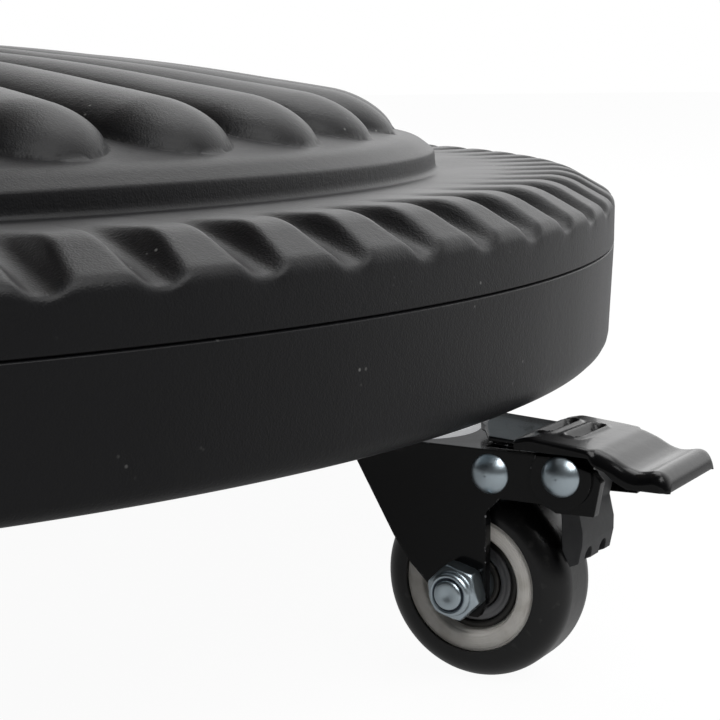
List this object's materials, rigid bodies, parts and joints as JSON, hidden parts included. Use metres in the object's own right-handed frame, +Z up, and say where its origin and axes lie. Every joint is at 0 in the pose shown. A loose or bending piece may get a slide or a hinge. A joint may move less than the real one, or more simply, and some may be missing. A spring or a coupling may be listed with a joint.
{
  "type": "swivel stool",
  "caption": "Round padded stool on a gas lift column, with a lever for its height and a fluted platform base on braked swivel casters.",
  "frame": {"origin": "on the floor under the column axis", "axes": "+Z up along the column, +Y towards the first caster, +X along the height lever"},
  "size_m": [0.5384, 0.5304, 0.4645],
  "materials": {
    "base_plastic": "matte",
    "trim_plastic": "satin",
    "zinc": "satin",
    "frame_steel": "matte",
    "black_enamel": "gloss",
    "bush_plastic": "satin",
    "bright_steel": "polished",
    "chrome": "polished",
    "plywood": "matte",
    "vinyl": "satin",
    "hub_plastic": "satin",
    "tyre": "gloss",
    "bearing_steel": "satin",
    "shoe_steel": "matte"
  },
  "bodies": {
    "base": {"base_upper_shell": "base_plastic", "base_lower_shell": "base_plastic", "shell_screws": "zinc", "base_frame": "frame_steel", "caster_plates": "zinc", "caster_screws": "zinc", "caster_kingpins": "zinc", "column_collar": "trim_plastic", "stand_tube": "black_enamel", "guide_bush": "bush_plastic"},
    "lift_rod": {"piston_rod": "bright_steel"},
    "seat": {"lift_tube": "chrome", "seat_plate": "black_enamel", "seat_bolts": "zinc", "lever_pin": "bright_steel", "seat_board": "plywood", "seat_cushion": "vinyl"},
    "lever": {"height_lever": "black_enamel", "lever_grip": "trim_plastic"},
    "valve": {"release_pin": "bright_steel"},
    "caster_1_fork": {"caster_1_fork": "black_enamel", "caster_1_rivets": "zinc", "caster_1_axle": "zinc"},
    "caster_1_wheel": {"caster_1_wheel_core": "hub_plastic", "caster_1_tyre": "tyre", "caster_1_bearings": "bearing_steel"},
    "caster_1_brake": {"caster_1_brake_pedal": "black_enamel", "caster_1_brake_shoe": "shoe_steel"},
    "caster_2_fork": {"caster_2_fork": "black_enamel", "caster_2_rivets": "zinc", "caster_2_axle": "zinc"},
    "caster_2_wheel": {"caster_2_wheel_core": "hub_plastic", "caster_2_tyre": "tyre", "caster_2_bearings": "bearing_steel"},
    "caster_2_brake": {"caster_2_brake_pedal": "black_enamel", "caster_2_brake_shoe": "shoe_steel"},
    "caster_3_fork": {"caster_3_fork": "black_enamel", "caster_3_rivets": "zinc", "caster_3_axle": "zinc"},
    "caster_3_wheel": {"caster_3_wheel_core": "hub_plastic", "caster_3_tyre": "tyre", "caster_3_bearings": "bearing_steel"},
    "caster_3_brake": {"caster_3_brake_pedal": "black_enamel", "caster_3_brake_shoe": "shoe_steel"},
    "caster_4_fork": {"caster_4_fork": "black_enamel", "caster_4_rivets": "zinc", "caster_4_axle": "zinc"},
    "caster_4_wheel": {"caster_4_wheel_core": "hub_plastic", "caster_4_tyre": "tyre", "caster_4_bearings": "bearing_steel"},
    "caster_4_brake": {"caster_4_brake_pedal": "black_enamel", "caster_4_brake_shoe": "shoe_steel"},
    "caster_5_fork": {"caster_5_fork": "black_enamel", "caster_5_rivets": "zinc", "caster_5_axle": "zinc"},
    "caster_5_wheel": {"caster_5_wheel_core": "hub_plastic", "caster_5_tyre": "tyre", "caster_5_bearings": "bearing_steel"},
    "caster_5_brake": {"caster_5_brake_pedal": "black_enamel", "caster_5_brake_shoe": "shoe_steel"}
  },
  "joints": [
    {"name": "seat_swivel", "type": "hinge", "parent": "base", "child": "lift_rod", "pos_m": [0, 0, 0.066], "axis": [0, 0, 1], "continuous": true},
    {"name": "seat_lift", "type": "slide", "parent": "lift_rod", "child": "seat", "axis": [0, 0, 1], "range_m": [0, 0.13]},
    {"name": "lever_pull", "type": "hinge", "parent": "seat", "child": "lever", "pos_m": [0.022, 0, 0.3653], "axis": [0, -1, 0], "range_deg": [0, 6]},
    {"name": "valve_press", "type": "slide", "parent": "seat", "child": "valve", "axis": [0, 0, -1], "range_m": [0, 0.0024], "stiffness_N_per_m": 2000},
    {"name": "caster_1_swivel", "type": "hinge", "parent": "base", "child": "caster_1_fork", "pos_m": [0, 0.2196, 0.0485], "axis": [0, 0, 1], "continuous": true},
    {"name": "caster_1_roll", "type": "hinge", "parent": "caster_1_fork", "child": "caster_1_wheel", "pos_m": [0.00143, 0.23704, 0.02], "axis": [-0.9966, 0.0819, 0], "continuous": true},
    {"name": "caster_1_brake_press", "type": "hinge", "parent": "caster_1_fork", "child": "caster_1_brake", "pos_m": [0.00315, 0.25797, 0.0449], "axis": [-0.9966, 0.0819, 0], "range_deg": [0, 6]},
    {"name": "caster_2_swivel", "type": "hinge", "parent": "base", "child": "caster_2_fork", "pos_m": [-0.20885, 0.06786, 0.0485], "axis": [0, 0, 1], "continuous": true},
    {"name": "caster_2_roll", "type": "hinge", "parent": "caster_2_fork", "child": "caster_2_wheel", "pos_m": [-0.225, 0.07461, 0.02], "axis": [-0.3859, -0.9225, 0], "continuous": true},
    {"name": "caster_2_brake_press", "type": "hinge", "parent": "caster_2_fork", "child": "caster_2_brake", "pos_m": [-0.24437, 0.08272, 0.0449], "axis": [-0.3859, -0.9225, 0], "range_deg": [0, 6]},
    {"name": "caster_3_swivel", "type": "hinge", "parent": "base", "child": "caster_3_fork", "pos_m": [-0.12908, -0.17766, 0.0485], "axis": [0, 0, 1], "continuous": true},
    {"name": "caster_3_roll", "type": "hinge", "parent": "caster_3_fork", "child": "caster_3_wheel", "pos_m": [-0.14049, -0.19093, 0.02], "axis": [0.7581, -0.6521, 0], "continuous": true},
    {"name": "caster_3_brake_press", "type": "hinge", "parent": "caster_3_fork", "child": "caster_3_brake", "pos_m": [-0.15418, -0.20685, 0.0449], "axis": [0.7581, -0.6521, 0], "range_deg": [0, 6]},
    {"name": "caster_4_swivel", "type": "hinge", "parent": "base", "child": "caster_4_fork", "pos_m": [0.12908, -0.17766, 0.0485], "axis": [0, 0, 1], "continuous": true},
    {"name": "caster_4_roll", "type": "hinge", "parent": "caster_4_fork", "child": "caster_4_wheel", "pos_m": [0.13817, -0.19261, 0.02], "axis": [0.8545, 0.5195, 0], "continuous": true},
    {"name": "caster_4_brake_press", "type": "hinge", "parent": "caster_4_fork", "child": "caster_4_brake", "pos_m": [0.14908, -0.21056, 0.0449], "axis": [0.8545, 0.5195, 0], "range_deg": [0, 6]},
    {"name": "caster_5_swivel", "type": "hinge", "parent": "base", "child": "caster_5_fork", "pos_m": [0.20885, 0.06786, 0.0485], "axis": [0, 0, 1], "continuous": true},
    {"name": "caster_5_roll", "type": "hinge", "parent": "caster_5_fork", "child": "caster_5_wheel", "pos_m": [0.22588, 0.07189, 0.02], "axis": [-0.23, 0.9732, 0], "continuous": true},
    {"name": "caster_5_brake_press", "type": "hinge", "parent": "caster_5_fork", "child": "caster_5_brake", "pos_m": [0.24632, 0.07672, 0.0449], "axis": [-0.23, 0.9732, 0], "range_deg": [0, 6]}
  ],
  "couplings": [
    {"joint": "valve_press", "follows": "lever_pull", "m_per_rad": 0.02244}
  ]
}
